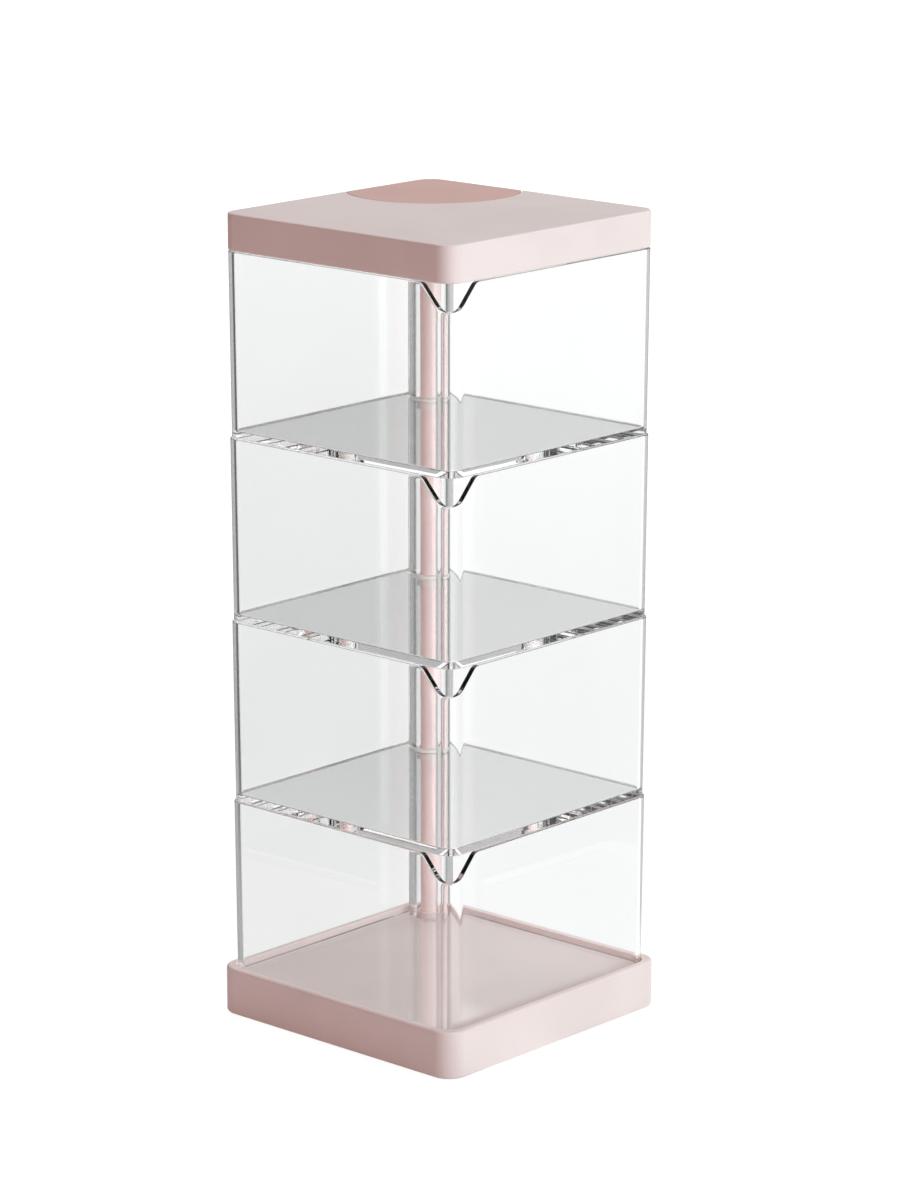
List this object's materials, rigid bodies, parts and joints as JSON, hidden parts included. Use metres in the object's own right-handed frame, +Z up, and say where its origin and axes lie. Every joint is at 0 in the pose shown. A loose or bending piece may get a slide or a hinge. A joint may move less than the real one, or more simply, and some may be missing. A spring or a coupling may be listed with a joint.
{
  "type": "swivel tray organizer",
  "caption": "Square tower of clear trays that swing out about a corner post, on a rimmed base and under a lid with a corner cap.",
  "frame": {"origin": "on the ground under the middle of the base", "axes": "+Z up; the front corner with the finger notches points to +X and -Y, and the post stands at the -X and +Y corner"},
  "size_m": [0.105, 0.105, 0.2704],
  "materials": {
    "pale_pink_plastic": "satin",
    "dusty_pink_plastic": "satin",
    "pink_post": "smooth",
    "clear_plastic": "clear, polished",
    "nylon": "natural",
    "rubber": "matte",
    "steel": "zinc plated"
  },
  "bodies": {
    "base": {"base_shell": "pale_pink_plastic", "base_bottom_cover": "pale_pink_plastic", "rubber_foot_front": "rubber", "rubber_foot_left": "rubber", "rubber_foot_rear": "rubber", "rubber_foot_right": "rubber", "post_tube": "pink_post", "tie_bolt": "steel", "top_washer": "steel", "top_nut": "steel", "tray_1": "clear_plastic", "bushing_1": "nylon", "bushing_2": "nylon", "bushing_3": "nylon", "bushing_4": "nylon"},
    "second_tray": {"tray_2": "clear_plastic"},
    "third_tray": {"tray_3": "clear_plastic"},
    "top_tray": {"tray_4": "clear_plastic"},
    "lid": {"lid_shell": "pale_pink_plastic", "lid_bottom_plate": "pale_pink_plastic", "corner_cap": "dusty_pink_plastic"}
  },
  "joints": [
    {"name": "second_tray_swivel", "type": "hinge", "parent": "base", "child": "second_tray", "pos_m": [-0.041, 0.041, 0.07425], "axis": [0, 0, 1], "continuous": true},
    {"name": "third_tray_swivel", "type": "hinge", "parent": "base", "child": "third_tray", "pos_m": [-0.041, 0.041, 0.1356], "axis": [0, 0, 1], "continuous": true},
    {"name": "top_tray_swivel", "type": "hinge", "parent": "base", "child": "top_tray", "pos_m": [-0.041, 0.041, 0.19695], "axis": [0, 0, 1], "continuous": true},
    {"name": "lid_swivel", "type": "hinge", "parent": "base", "child": "lid", "pos_m": [-0.041, 0.041, 0.2583], "axis": [0, 0, 1], "continuous": true}
  ]
}
